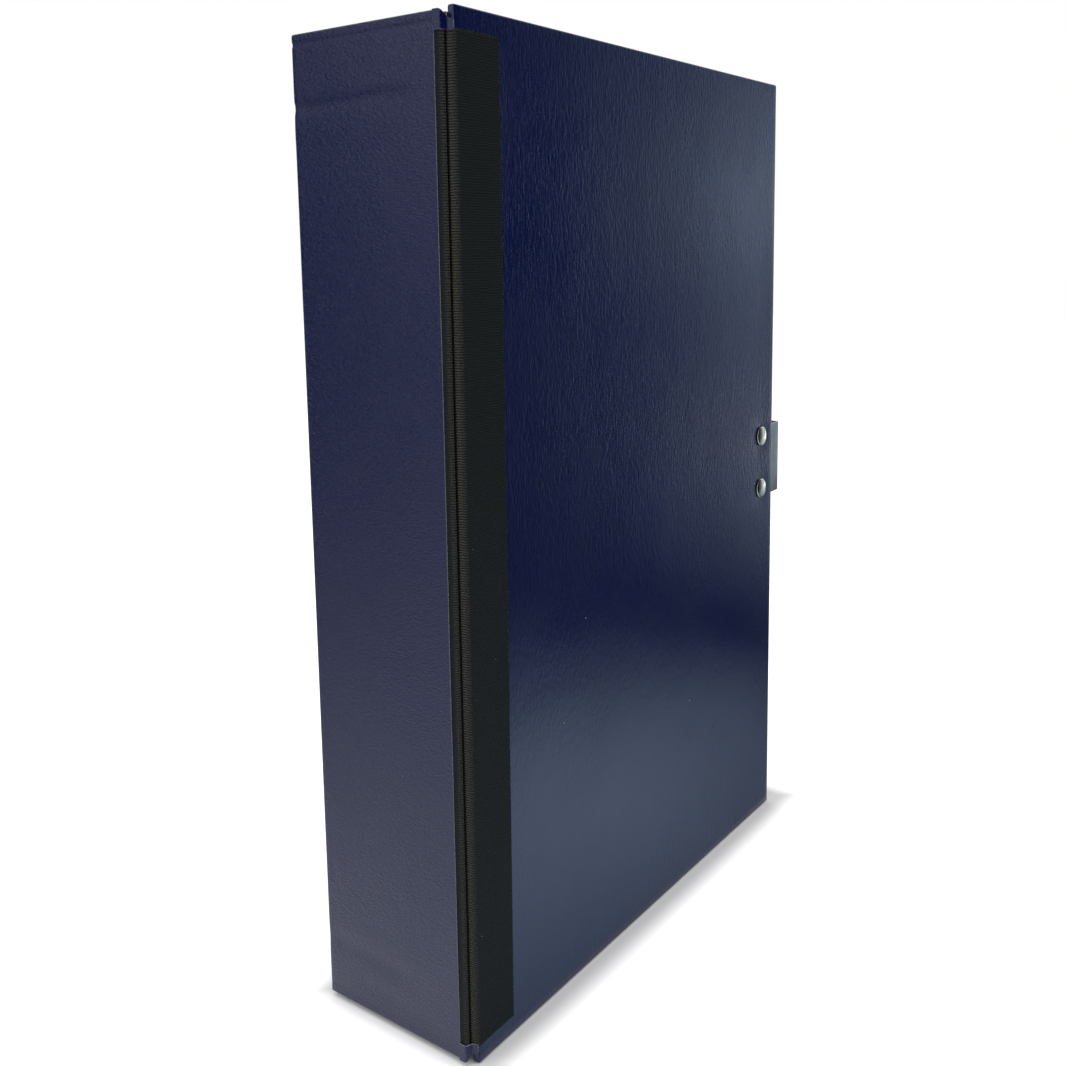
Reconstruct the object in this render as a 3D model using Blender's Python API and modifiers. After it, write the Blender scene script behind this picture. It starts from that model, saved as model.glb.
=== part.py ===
"""Archival box of the box-file kind, standing upright on its tail edge like a book.

A deep tray of covered board carries a flat lid on a cloth hinge along the spine. A sheet-metal hasp,
riveted to the lid, hooks over a push-button catch on the tray's fore-edge wall.

Design axes: X runs from the spine to the fore-edge, Y from the lid's face to the back, and Z from the
tail to the head. Pieces are placed from the corner where spine face, lid face and lid tail edge meet,
and one empty then centres the whole box over its footprint.
"""

import math

import bmesh
import bpy
from mathutils import Vector

MM = 0.001

# Overall sizes
HEIGHT = 370 * MM  # lid, tail edge to head edge
WIDTH = 244 * MM  # spine face to the lid's fore-edge
DEPTH = 73 * MM  # lid face to the back

# Sheet materials and the glue line between two layers
SKIN = 0.35 * MM  # leatherette covering
CLOTH = 0.35 * MM  # hinge tape
LINING = 0.25 * MM  # lining paper
WALL_BOARD = 1.9 * MM
LID_BOARD = 1.8 * MM
GLUE = 0.25 * MM

# Tray and lid
SQUARE = 2 * MM  # how far the lid stands past the tray at head, tail and fore-edge
LID_GAP = 0.25 * MM  # between the lid's inner face and the tray's rim
TRAY_TURN_IN = 20 * MM  # covering folded over the rim and glued inside
LID_TURN_IN = 15 * MM

# Cloth hinge
JOINT_WIDTH = 3.5 * MM  # spine face to the lid's hinge edge
HINGE_INSET = 1.2 * MM  # spine face to the axis that the cloth turns about
TAPE_ON_RIM = 0.9 * MM  # width glued to the rim before the tape bends
TAPE_ON_EDGE = 1.05 * MM  # bare stretch of the lid's hinge edge, from the tray side to the glued tape
TAPE_ON_LID = 22.2 * MM  # width of tape across the lid's face
TAPE_END = 7.5 * MM  # lid's head or tail edge to the tape's end
TAPE_SHOWING = 2.65 * MM  # width of tape between the rim and the edge of the spine's covering
SLIT_END = 5.9 * MM  # lid's head or tail edge to the end of the slit that the tape comes out of
STRIP_RISE = 5.0 * MM  # covering that bridges the joint past each end of the tape, at the spine
STRIP_FALL = 3.4 * MM  # what its slanting trim takes off by the time it reaches the lid

# Hasp
METAL = 0.7 * MM
HASP_HEIGHT = 35.5 * MM
HASP_LEAF = 20 * MM  # length let into the lid's board
HASP_REACH = 10.4 * MM  # lid's fore-edge to the outer face of the hasp's leg
HASP_BEND = 2.4 * MM  # outer radius of the bend
HASP_LIP = 4.2 * MM  # flat stretch of the thumb lip past the hole
HASP_JOGGLE = 1.0 * MM  # how far the lip stands out from the leg
HASP_FLARE = 1.2 * MM  # how far the lip's end curls out
HASP_CURL = 1.8 * MM  # length of that end
HASP_CORNER = 4 * MM
METAL_GAP = 0.3 * MM  # between metal pieces that face each other

# Rivets through the lid
RIVET_INSET = 12.7 * MM  # lid's fore-edge to the rivets
RIVET_SPACING = 26.4 * MM
RIVET_HEAD = 4.75 * MM  # radius
RIVET_CROWN = 1.7 * MM
RIVET_SHANK = 1.6 * MM
RIVET_TAIL = 2.7 * MM
RIVET_TAIL_CROWN = 0.6 * MM
TAIL_TAPER = 0.8  # end radius of a clinched tail over its widest
HOLE_SLACK = 0.3 * MM  # hole radius less shank radius
STRIP_WIDTH = 11 * MM  # backing strips under the rivet tails
STRIP_METAL = 0.7 * MM

# Catch on the tray's fore-edge wall
CATCH_INSET = 3.25 * MM  # tray rim to the catch's case
CASE_DEPTH = 18 * MM
CASE_HEIGHT = 26 * MM
CASE_EDGE = 1.0 * MM  # rounding of its edges
FLANGE_LENGTH = 7.2 * MM
FLANGE_DEPTH = 10 * MM
CATCH_RIVET_HEAD = 2.5 * MM
CATCH_RIVET_CROWN = 0.9 * MM
CATCH_RIVET_SHANK = 1.2 * MM
CATCH_RIVET_TAIL = 2.0 * MM
BUTTON_RADIUS = 4.5 * MM
BUTTON_RISE = 0.85 * MM  # crown's height above the case
BUTTON_CROWN = 0.5 * MM
BUTTON_COLLAR = 6.0 * MM
BUTTON_COLLAR_LENGTH = 1.2 * MM
BUTTON_BOSS = 2.0 * MM
BUTTON_BOSS_LENGTH = 2.7 * MM
HASP_HOLE_SLACK = 0.4 * MM
SPRING_WIRE = 0.35 * MM  # radius
SPRING_RADIUS = 3.2 * MM  # to the middle of the wire
SPRING_TURNS = 4

ROUND_STEPS = 32
CROWN_STEPS = 5
BEND_STEPS = 6
CORNER_STEPS = 5
COIL_STEPS = 14
SCREW_MERGE = 0.01 * MM

# What follows from the sizes above
LID_THICKNESS = LID_BOARD + 2 * (SKIN + GLUE)
LAYER = SKIN + GLUE  # outer face to board
RIM = LID_THICKNESS + LID_GAP
TRAY_WIDTH = WIDTH - SQUARE
TRAY_TAIL = SQUARE
TRAY_HEAD = HEIGHT - SQUARE
INNER_SKIN = LAYER + WALL_BOARD + GLUE  # outer face to the turn-in inside
WALL = INNER_SKIN + SKIN
SPINE_LAYER = LAYER + CLOTH + GLUE  # the tape lies between covering and board there
SPINE_WALL = SPINE_LAYER + WALL_BOARD + GLUE + SKIN
MIDDLE = HEIGHT / 2
HASP_FACE = WIDTH + HASP_REACH
CASE_BACK = TRAY_WIDTH + METAL_GAP
CASE_FRONT = HASP_FACE - METAL - METAL_GAP
CATCH_Y = RIM + CATCH_INSET + CASE_DEPTH / 2
CATCH_HALF = CASE_HEIGHT / 2 + FLANGE_LENGTH
FAR = 20 * MM  # how far a cutter runs past what it cuts

COLOURS = {
    "leatherette": ((0.035, 0.045, 0.085), 0.45, 0.0),
    "board": ((0.42, 0.38, 0.31), 0.9, 0.0),
    "lining_paper": ((0.75, 0.73, 0.68), 0.85, 0.0),
    "hinge_cloth": ((0.008, 0.011, 0.012), 0.85, 0.0),
    "nickel": ((0.72, 0.70, 0.66), 0.2, 1.0),
    "steel": ((0.45, 0.45, 0.44), 0.35, 1.0),
}


def clear_scene():
    for item in list(bpy.data.objects):
        bpy.data.objects.remove(item)


def make_collection(name, hidden=False):
    collection = bpy.data.collections.new(name)
    collection.hide_render = hidden
    bpy.context.scene.collection.children.link(collection)
    return collection


def make_material(name, node_name):
    colour, roughness, metallic = COLOURS[name]
    material = bpy.data.materials.new(f"{node_name}_{name}")
    material.use_nodes = True
    shader = material.node_tree.nodes["Principled BSDF"]
    shader.inputs["Base Color"].default_value = (*colour, 1.0)
    shader.inputs["Roughness"].default_value = roughness
    shader.inputs["Metallic"].default_value = metallic
    return material


class Holder:
    """An empty that carries pieces, and its place on the design axes."""

    def __init__(self, name, at, parent=None):
        self.at = Vector(at)
        self.empty = bpy.data.objects.new(name, None)
        PARTS.objects.link(self.empty)
        if parent:
            self.empty.parent = parent.empty
            self.empty.location = self.at - parent.at

    def carry(self, piece, at):
        piece.parent = self.empty
        piece.location = Vector(at) - self.at


def add_piece(name, mesh, finish, holder, at, collection=None):
    piece = bpy.data.objects.new(name, mesh)
    if finish:
        piece.data.materials.append(make_material(finish, name))
    (collection or PARTS).objects.link(piece)
    holder.carry(piece, at)
    return piece


def add_cutter(name, mesh, holder, at):
    cutter = add_piece(name, mesh, None, holder, at, CUTTERS)
    cutter.hide_render = True
    cutter.display_type = "WIRE"
    return cutter


def mesh_from(form, name):
    mesh = bpy.data.meshes.new(name)
    form.to_mesh(mesh)
    form.free()
    return mesh


def box_mesh(name, size):
    form = bmesh.new()
    bmesh.ops.create_cube(form, size=1)
    bmesh.ops.scale(form, vec=size, verts=form.verts)
    return mesh_from(form, name)


def corners_of(x_span, y_span, z_span):
    """Lowest and highest corner of a box given by its span on each axis, in either order."""
    spans = (sorted(x_span), sorted(y_span), sorted(z_span))
    low = Vector(span[0] for span in spans)
    high = Vector(span[1] for span in spans)
    return low, high


def box(name, x_span, y_span, z_span, finish, holder):
    low, high = corners_of(x_span, y_span, z_span)
    return add_piece(name, box_mesh(name, high - low), finish, holder, (low + high) / 2)


def box_cutter(name, x_span, y_span, z_span, holder):
    low, high = corners_of(x_span, y_span, z_span)
    return add_cutter(name, box_mesh(name, high - low), holder, (low + high) / 2)


def rod_cutter(name, radius, length, direction, holder, at):
    """A cylinder centred at a point, along one of the design axes."""
    form = bmesh.new()
    bmesh.ops.create_cone(
        form, cap_ends=True, segments=ROUND_STEPS, radius1=radius, radius2=radius, depth=length
    )
    cutter = add_cutter(name, mesh_from(form, name), holder, at)
    cutter.rotation_euler = Vector(direction).to_track_quat("Z", "Y").to_euler()
    return cutter


def boolean(piece, other, operation):
    step = piece.modifiers.new(f"{operation.lower()}_{other.name}", "BOOLEAN")
    step.operation = operation
    step.object = other
    step.solver = "EXACT"


def cut(piece, *cutters):
    for cutter in cutters:
        boolean(piece, cutter, "DIFFERENCE")


def turned(name, profile, direction, finish, holder, at):
    """A solid turned about local Z from (radius, height) points that run down its outer side."""
    form = bmesh.new()
    points = [form.verts.new((radius, 0, height)) for radius, height in profile]
    for upper, lower in zip(points, points[1:]):
        form.edges.new((upper, lower))
    mesh = bpy.data.meshes.new(name)
    form.to_mesh(mesh)
    form.free()
    piece = add_piece(name, mesh, finish, holder, at)
    piece.rotation_euler = Vector(direction).to_track_quat("Z", "Y").to_euler()
    screw = piece.modifiers.new("turn", "SCREW")
    screw.axis = "Z"
    screw.steps = ROUND_STEPS
    screw.render_steps = ROUND_STEPS
    screw.use_merge_vertices = True
    screw.merge_threshold = SCREW_MERGE
    screw.use_smooth_shade = True
    return piece


def ribbon(name, outline, z_span, thickness, finish, holder):
    """A bent sheet: (x, y) points drawn out along Z, and thickened on the left of their direction."""
    form = bmesh.new()
    start = Vector((*outline[0], z_span[0]))
    points = [form.verts.new(Vector((x, y, z_span[0])) - start) for x, y in outline]
    edges = [form.edges.new(pair) for pair in zip(points, points[1:])]
    grown = bmesh.ops.extrude_edge_only(form, edges=edges)
    raised = [item for item in grown["geom"] if isinstance(item, bmesh.types.BMVert)]
    bmesh.ops.translate(form, vec=(0, 0, z_span[1] - z_span[0]), verts=raised)
    piece = add_piece(name, mesh_from(form, name), finish, holder, start)
    sheet = piece.modifiers.new("thickness", "SOLIDIFY")
    sheet.thickness = thickness
    sheet.offset = 1
    sheet.use_even_offset = True
    return piece


def arc(centre, radius, start, end, steps):
    """Points on an arc in the XY plane, with its angles in degrees."""
    angles = [math.radians(start + (end - start) * step / steps) for step in range(steps + 1)]
    return [(centre[0] + radius * math.cos(a), centre[1] + radius * math.sin(a)) for a in angles]


def crown(radius, height):
    """Points down a domed head, from its top to its rim."""
    sphere = (radius**2 + height**2) / (2 * height)
    spread = math.asin(radius / sphere)
    angles = [spread * step / CROWN_STEPS for step in range(CROWN_STEPS + 1)]
    return [(sphere * math.sin(a), sphere * math.cos(a) - sphere) for a in angles]


def rivet(name, head, dome, shank, tail, tail_dome, grip, direction, finish, holder, at):
    """A domed head on top of its grip, a shank, and a clinched tail below."""
    profile = [(radius, dome + height) for radius, height in crown(head, dome)]
    profile += [(shank, 0), (shank, -grip)]
    profile += [(tail, -grip), (tail * TAIL_TAPER, -grip - tail_dome), (0, -grip - tail_dome)]
    return turned(name, profile, direction, finish, holder, at)


def add_boards():
    """The five boards of the tray. Spine and fore-edge boards run full height, head and tail fit between."""
    front = RIM + LAYER
    back = DEPTH - LAYER
    floor = back - WALL_BOARD
    tail = TRAY_TAIL + LAYER
    head = TRAY_HEAD - LAYER
    fore = TRAY_WIDTH - LAYER
    wall_y = (front, floor - GLUE)
    box("back_board", (SPINE_LAYER, fore), (floor, back), (tail, head), "board", BOX)
    box("spine_board", (SPINE_LAYER, SPINE_LAYER + WALL_BOARD), wall_y, (tail, head), "board", BOX)
    fore_board = box("fore_edge_board", (fore - WALL_BOARD, fore), wall_y, (tail, head), "board", BOX)
    across = (SPINE_LAYER + WALL_BOARD + GLUE, fore - WALL_BOARD - GLUE)
    box("head_board", across, wall_y, (head - WALL_BOARD, head), "board", BOX)
    box("tail_board", across, wall_y, (tail, tail + WALL_BOARD), "board", BOX)
    return fore_board


def add_end_wrap(name, outer, inward):
    """The covering of the head or tail wall: outer face, over the rim, and turned in inside."""
    fold = outer + inward * WALL
    skin_out = outer + inward * SKIN
    skin_in = outer + inward * INNER_SKIN
    past = outer + inward * FAR
    across = (LAYER, TRAY_WIDTH - LAYER)
    inside = (SPINE_WALL + GLUE, TRAY_WIDTH - WALL - GLUE)
    y_far = DEPTH + FAR
    wrap = box(name, across, (RIM, DEPTH - LAYER), (outer, fold), "leatherette", BOX)
    board_room = box_cutter(
        f"{name}_board_room", (-FAR, WIDTH), (RIM + SKIN, y_far), (skin_out, skin_in), BOX
    )
    room = box_cutter(
        f"{name}_room", (-FAR, WIDTH), (RIM + TRAY_TURN_IN, y_far), (skin_out, past), BOX
    )
    cut(wrap, board_room, room)
    for side, x_span in (("spine", (-FAR, inside[0])), ("fore", (inside[1], WIDTH + FAR))):
        behind = box_cutter(f"{name}_{side}_inside", x_span, (-FAR, y_far), (skin_out, past), BOX)
        rim = box_cutter(
            f"{name}_{side}_rim", x_span, (-FAR, RIM + LAYER), (outer - inward * FAR, past), BOX
        )
        cut(wrap, behind, rim)
    return wrap


def add_coverings():
    """The leatherette skins of the tray."""
    add_end_wrap("head_wrap", TRAY_HEAD, -1)
    add_end_wrap("tail_wrap", TRAY_TAIL, 1)
    ends = (TRAY_TAIL, TRAY_HEAD)

    spine = box("spine_wrap", (0, SKIN), (RIM, DEPTH), ends, "leatherette", BOX)
    slit = box_cutter(
        "tape_slit", (-FAR, FAR), (-FAR, RIM + TAPE_SHOWING), (SLIT_END, HEIGHT - SLIT_END), BOX
    )
    cut(spine, slit)

    box("back_wrap", (LAYER, TRAY_WIDTH), (DEPTH - SKIN, DEPTH), ends, "leatherette", BOX)

    fold = TRAY_WIDTH - WALL
    fore = box("fore_edge_wrap", (fold, TRAY_WIDTH), (RIM, DEPTH - LAYER), ends, "leatherette", BOX)
    skins = (TRAY_WIDTH - INNER_SKIN, TRAY_WIDTH - SKIN)
    y_far = DEPTH + FAR
    z_all = (-FAR, HEIGHT + FAR)
    board_room = box_cutter("fore_board_room", skins, (RIM + SKIN, y_far), z_all, BOX)
    room = box_cutter(
        "fore_room", (fold - FAR, skins[1]), (RIM + TRAY_TURN_IN, y_far), z_all, BOX
    )
    cut(fore, board_room, room)
    inside = (TRAY_TAIL + WALL + GLUE, TRAY_HEAD - WALL - GLUE)
    for end, z_span in (("tail", (-FAR, inside[0])), ("head", (inside[1], HEIGHT + FAR))):
        x_span = (fold - FAR, skins[1])
        cut(fore, box_cutter(f"fore_{end}_end", x_span, (RIM + SKIN, y_far), z_span, BOX))
    return fore


def add_linings():
    """Lining paper on the floor and walls, from the turn-ins down."""
    floor = DEPTH - LAYER - WALL_BOARD - GLUE
    paper_floor = (floor - LINING, floor)
    wall_y = (RIM + TRAY_TURN_IN + GLUE, floor - LINING - GLUE)
    spine = SPINE_LAYER + WALL_BOARD + GLUE
    fore = TRAY_WIDTH - INNER_SKIN
    tail = TRAY_TAIL + INNER_SKIN
    head = TRAY_HEAD - INNER_SKIN
    full_x = (spine + LINING + GLUE, fore - LINING - GLUE)
    full_z = (tail + LINING + GLUE, head - LINING - GLUE)
    box("back_lining", (spine, fore), paper_floor, (tail, head), "lining_paper", BOX)
    box("spine_lining", (spine, spine + LINING), (RIM + LAYER, wall_y[1]), full_z, "lining_paper", BOX)
    box("fore_edge_lining", (fore - LINING, fore), wall_y, full_z, "lining_paper", BOX)
    box("head_lining", full_x, wall_y, (head - LINING, head), "lining_paper", BOX)
    box("tail_lining", full_x, wall_y, (tail, tail + LINING), "lining_paper", BOX)


def add_hinge():
    """The cloth tape, in the stretch glued to the tray, the stretch that bends and the stretch on the lid."""
    rim_end = LAYER + TAPE_ON_RIM
    fold_end = LID_THICKNESS - TAPE_ON_EDGE
    lid_edge = JOINT_WIDTH - GLUE - CLOTH
    slit = (SLIT_END + GLUE, HEIGHT - SLIT_END - GLUE)
    on_lid = (TAPE_END, HEIGHT - TAPE_END)

    on_tray = [(LAYER, DEPTH - LAYER - GLUE), (LAYER, RIM), (rim_end, RIM)]
    ribbon("hinge_tape_spine", on_tray, slit, CLOTH, "hinge_cloth", BOX)

    bend = [(rim_end + GLUE, RIM), (lid_edge - CLOTH, RIM - CLOTH), (lid_edge, fold_end + GLUE)]
    ribbon("hinge_tape_fold", bend, on_lid, CLOTH, "hinge_cloth", BOX)

    face = -GLUE - CLOTH
    lid_face = [(lid_edge, fold_end), (lid_edge, face), (JOINT_WIDTH + TAPE_ON_LID, face)]
    ribbon("hinge_tape_lid", lid_face, on_lid, CLOTH, "hinge_cloth", LID)


def add_joint_strips():
    """Covering that bridges spine and lid past each end of the tape, trimmed on a slant."""
    start = Vector((SKIN, RIM - GLUE - SKIN, 0))
    end = Vector((JOINT_WIDTH - GLUE, SKIN, 0))
    run = (end - start).length
    for name, outer, inward in (("head", TRAY_HEAD, -1), ("tail", TRAY_TAIL, 1)):
        curve = bpy.data.curves.new(f"joint_strip_{name}", "CURVE")
        curve.dimensions = "2D"
        curve.fill_mode = "BOTH"
        curve.extrude = SKIN / 2
        outline = curve.splines.new("POLY")
        trimmed = inward * STRIP_FALL
        foot = inward * STRIP_RISE
        corners = [(0, 0), (run, trimmed), (run, foot), (0, foot)]
        outline.points.add(len(corners) - 1)
        for point, (along, up) in zip(outline.points, corners):
            point.co = (along, up, 0, 1)
        outline.use_cyclic_u = True
        strip = add_piece(f"joint_strip_{name}", curve, "leatherette", BOX, (start.x, start.y, outer))
        slant = math.atan2(end.y - start.y, end.x - start.x)
        strip.rotation_euler = (math.pi / 2, 0, slant)


def add_lid():
    """Board, leatherette turned in on all four edges, and the lining panel inside the turn-ins."""
    x_span = (JOINT_WIDTH, WIDTH)
    z_span = (0, HEIGHT)
    wrap = box("lid_wrap", x_span, (0, LID_THICKNESS), z_span, "leatherette", LID)
    board_room = box_cutter(
        "lid_board_room",
        (x_span[0] + SKIN, x_span[1] - SKIN),
        (SKIN, LID_THICKNESS - SKIN),
        (SKIN, HEIGHT - SKIN),
        LID,
    )
    window_x = (x_span[0] + LID_TURN_IN, x_span[1] - LID_TURN_IN)
    window_z = (LID_TURN_IN, HEIGHT - LID_TURN_IN)
    window = box_cutter("lid_window", window_x, (LID_THICKNESS / 2, FAR), window_z, LID)
    cut(wrap, board_room, window)

    board = box(
        "lid_board",
        (x_span[0] + LAYER, x_span[1] - LAYER),
        (LAYER, LAYER + LID_BOARD),
        (LAYER, HEIGHT - LAYER),
        "board",
        LID,
    )
    paper_x = (window_x[0] + GLUE, window_x[1] - GLUE)
    paper_z = (window_z[0] + GLUE, window_z[1] - GLUE)
    paper_y = (LAYER + LID_BOARD + GLUE, LAYER + LID_BOARD + GLUE + LINING)
    box("lid_lining", paper_x, paper_y, paper_z, "lining_paper", LID)
    return wrap, board


def add_hasp(lid_wrap, lid_board):
    """A bent plate let into the lid's board, out past the fore-edge and down over the catch."""
    leaf = LAYER
    hole_y = CATCH_Y
    hole = BUTTON_RADIUS + HASP_HOLE_SLACK
    z_span = (MIDDLE - HASP_HEIGHT / 2, MIDDLE + HASP_HEIGHT / 2)
    bend = arc((HASP_FACE - HASP_BEND, leaf + HASP_BEND), HASP_BEND, -90, 0, BEND_STEPS)
    lip = HASP_FACE + HASP_JOGGLE
    lip_start = hole_y + hole - METAL
    outline = [(WIDTH - HASP_LEAF, leaf), *bend]
    outline += [(HASP_FACE, lip_start - 2 * HASP_JOGGLE), (lip, lip_start)]
    lip_end = lip_start + HASP_LIP
    outline += [(lip, lip_end), (lip + HASP_FLARE, lip_end + HASP_CURL)]
    hasp = ribbon("hasp_plate", outline, z_span, METAL, "steel", LID)
    corners = hasp.vertex_groups.new(name="free_corners")
    corners.add([0, len(outline) - 1, len(outline), 2 * len(outline) - 1], 1.0, "REPLACE")
    rounding = hasp.modifiers.new("rounding", "BEVEL")
    rounding.affect = "VERTICES"
    rounding.limit_method = "VGROUP"
    rounding.vertex_group = corners.name
    rounding.width = HASP_CORNER
    rounding.segments = CORNER_STEPS
    hasp.modifiers.move(1, 0)
    hole_at = (HASP_FACE, hole_y, MIDDLE)
    cut(hasp, rod_cutter("hasp_button_hole", hole, FAR, (1, 0, 0), LID, hole_at))

    room_z = (z_span[0] - GLUE, z_span[1] + GLUE)
    room_y = (leaf - GLUE / 2, leaf + METAL + GLUE)
    recess_x = (WIDTH - HASP_LEAF - GLUE, WIDTH + FAR)
    cut(lid_board, box_cutter("hasp_recess", recess_x, (0, room_y[1]), room_z, LID))
    cut(lid_wrap, box_cutter("hasp_slit", (WIDTH - LAYER, WIDTH + FAR), room_y, room_z, LID))

    back = LID_THICKNESS + GLUE
    strip_x = (WIDTH - RIVET_INSET - STRIP_WIDTH / 2, WIDTH - RIVET_INSET + STRIP_WIDTH / 2)
    strip = box("hasp_backing_strip", strip_x, (back, back + STRIP_METAL), z_span, "steel", LID)

    grip = back + STRIP_METAL + 2 * METAL_GAP
    for name, side in (("upper", 1), ("lower", -1)):
        at = Vector((WIDTH - RIVET_INSET, -METAL_GAP, MIDDLE + side * RIVET_SPACING / 2))
        rivet(
            f"hasp_rivet_{name}", RIVET_HEAD, RIVET_CROWN, RIVET_SHANK, RIVET_TAIL,
            RIVET_TAIL_CROWN, grip, (0, -1, 0), "nickel", LID, at,
        )
        hole = rod_cutter(f"hasp_rivet_hole_{name}", RIVET_SHANK + HOLE_SLACK, FAR, (0, 1, 0), LID, at)
        for piece in (hasp, lid_board, lid_wrap, strip):
            cut(piece, hole)


def add_catch(fore_wrap, fore_board):
    """A pressed case riveted to the fore-edge wall, a button through its front and a spring behind it."""
    y_span = (CATCH_Y - CASE_DEPTH / 2, CATCH_Y + CASE_DEPTH / 2)
    z_span = (MIDDLE - CASE_HEIGHT / 2, MIDDLE + CASE_HEIGHT / 2)
    case = box("catch_case", (CASE_BACK, CASE_FRONT), y_span, z_span, "steel", BOX)
    rounding = case.modifiers.new("rounding", "BEVEL")
    rounding.width = CASE_EDGE
    rounding.segments = 2
    rounding.limit_method = "ANGLE"
    flange_y = (CATCH_Y - FLANGE_DEPTH / 2, CATCH_Y + FLANGE_DEPTH / 2)
    flange_z = (MIDDLE - CATCH_HALF, MIDDLE + CATCH_HALF)
    flanges = box_cutter("catch_flanges", (CASE_BACK, CASE_BACK + METAL), flange_y, flange_z, BOX)
    boolean(case, flanges, "UNION")
    hollow = box_cutter(
        "catch_hollow",
        (CASE_BACK - FAR, CASE_FRONT - METAL),
        (y_span[0] + METAL, y_span[1] - METAL),
        (z_span[0] + METAL, z_span[1] - METAL),
        BOX,
    )
    cut(case, hollow)
    hole = BUTTON_RADIUS + METAL_GAP
    hole_at = (CASE_FRONT, CATCH_Y, MIDDLE)
    cut(case, rod_cutter("catch_button_hole", hole, CASE_DEPTH / 2, (1, 0, 0), BOX, hole_at))

    inside = TRAY_WIDTH - WALL - GLUE
    strip = box("catch_backing_strip", (inside - STRIP_METAL, inside), flange_y, flange_z, "steel", BOX)

    grip = CASE_BACK + METAL + 2 * METAL_GAP - inside + STRIP_METAL
    rivet_z = CATCH_HALF - FLANGE_LENGTH / 2
    for name, side in (("upper", 1), ("lower", -1)):
        at = Vector((CASE_BACK + METAL + METAL_GAP, CATCH_Y, MIDDLE + side * rivet_z))
        rivet(
            f"catch_rivet_{name}", CATCH_RIVET_HEAD, CATCH_RIVET_CROWN, CATCH_RIVET_SHANK,
            CATCH_RIVET_TAIL, RIVET_TAIL_CROWN, grip, (1, 0, 0), "nickel", BOX, at,
        )
        radius = CATCH_RIVET_SHANK + HOLE_SLACK
        hole = rod_cutter(f"catch_rivet_hole_{name}", radius, 2 * FAR, (1, 0, 0), BOX, at)
        for piece in (case, fore_wrap, fore_board, strip):
            cut(piece, hole)


def add_button():
    """The push button, kept in by its collar, and its return spring."""
    face = BUTTON_RISE
    shoulder = -METAL - METAL_GAP
    collar = shoulder - BUTTON_COLLAR_LENGTH
    profile = [(radius, face + height) for radius, height in crown(BUTTON_RADIUS, BUTTON_CROWN)]
    profile += [(BUTTON_RADIUS, shoulder), (BUTTON_COLLAR, shoulder), (BUTTON_COLLAR, collar)]
    boss_end = collar - BUTTON_BOSS_LENGTH
    profile += [(BUTTON_BOSS, collar), (BUTTON_BOSS, boss_end), (0, boss_end)]
    turned("push_button", profile, (1, 0, 0), "nickel", BUTTON, (CASE_FRONT, CATCH_Y, MIDDLE))

    start = CASE_BACK + SPRING_WIRE
    end = CASE_FRONT + collar - METAL_GAP - SPRING_WIRE
    curve = bpy.data.curves.new("button_spring", "CURVE")
    curve.dimensions = "3D"
    curve.bevel_depth = SPRING_WIRE
    curve.bevel_resolution = 1
    curve.use_fill_caps = True
    coil = curve.splines.new("POLY")
    count = SPRING_TURNS * COIL_STEPS + 1
    coil.points.add(count - 1)
    for step, point in enumerate(coil.points):
        turn = 2 * math.pi * step / COIL_STEPS
        along = (end - start) * step / (count - 1)
        point.co = (along, SPRING_RADIUS * math.cos(turn), SPRING_RADIUS * math.sin(turn), 1)
    add_piece("button_spring", curve, "steel", BOX, (start, CATCH_Y, MIDDLE))


clear_scene()
PARTS = make_collection("archival_box")
CUTTERS = make_collection("cutters", hidden=True)
BOX = Holder("box_frame", (0, 0, 0))
LID = Holder("lid_hinge", (HINGE_INSET, LID_THICKNESS / 2, MIDDLE), BOX)
BUTTON = Holder("button_slide", (CASE_FRONT, CATCH_Y, MIDDLE), BOX)

fore_edge_board = add_boards()
fore_edge_wrap = add_coverings()
add_linings()
add_hinge()
add_joint_strips()
wrap_of_lid, board_of_lid = add_lid()
add_hasp(wrap_of_lid, board_of_lid)
add_catch(fore_edge_wrap, fore_edge_board)
add_button()

# The origin is the middle of the footprint, from the spine to the hasp's lip and rivet crown to back.
LIP_EDGE = HASP_FACE + HASP_JOGGLE + HASP_FLARE
CROWN_FACE = -METAL_GAP - RIVET_CROWN
BOX.empty.location = (-LIP_EDGE / 2, -(DEPTH + CROWN_FACE) / 2, 0)
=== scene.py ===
# %% [markdown]
# # An archival box in covered board
# The box stands on its tail edge like a book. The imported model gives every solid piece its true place,
# so it is loaded first and kept as it is. Everything made below is fitted around it: coverings with
# rolled edges, the cloth hinge, the metal fittings, and the finish of each surface.

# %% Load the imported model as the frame
import math

import bmesh
import bpy
from mathutils import Matrix, Vector, noise


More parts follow.
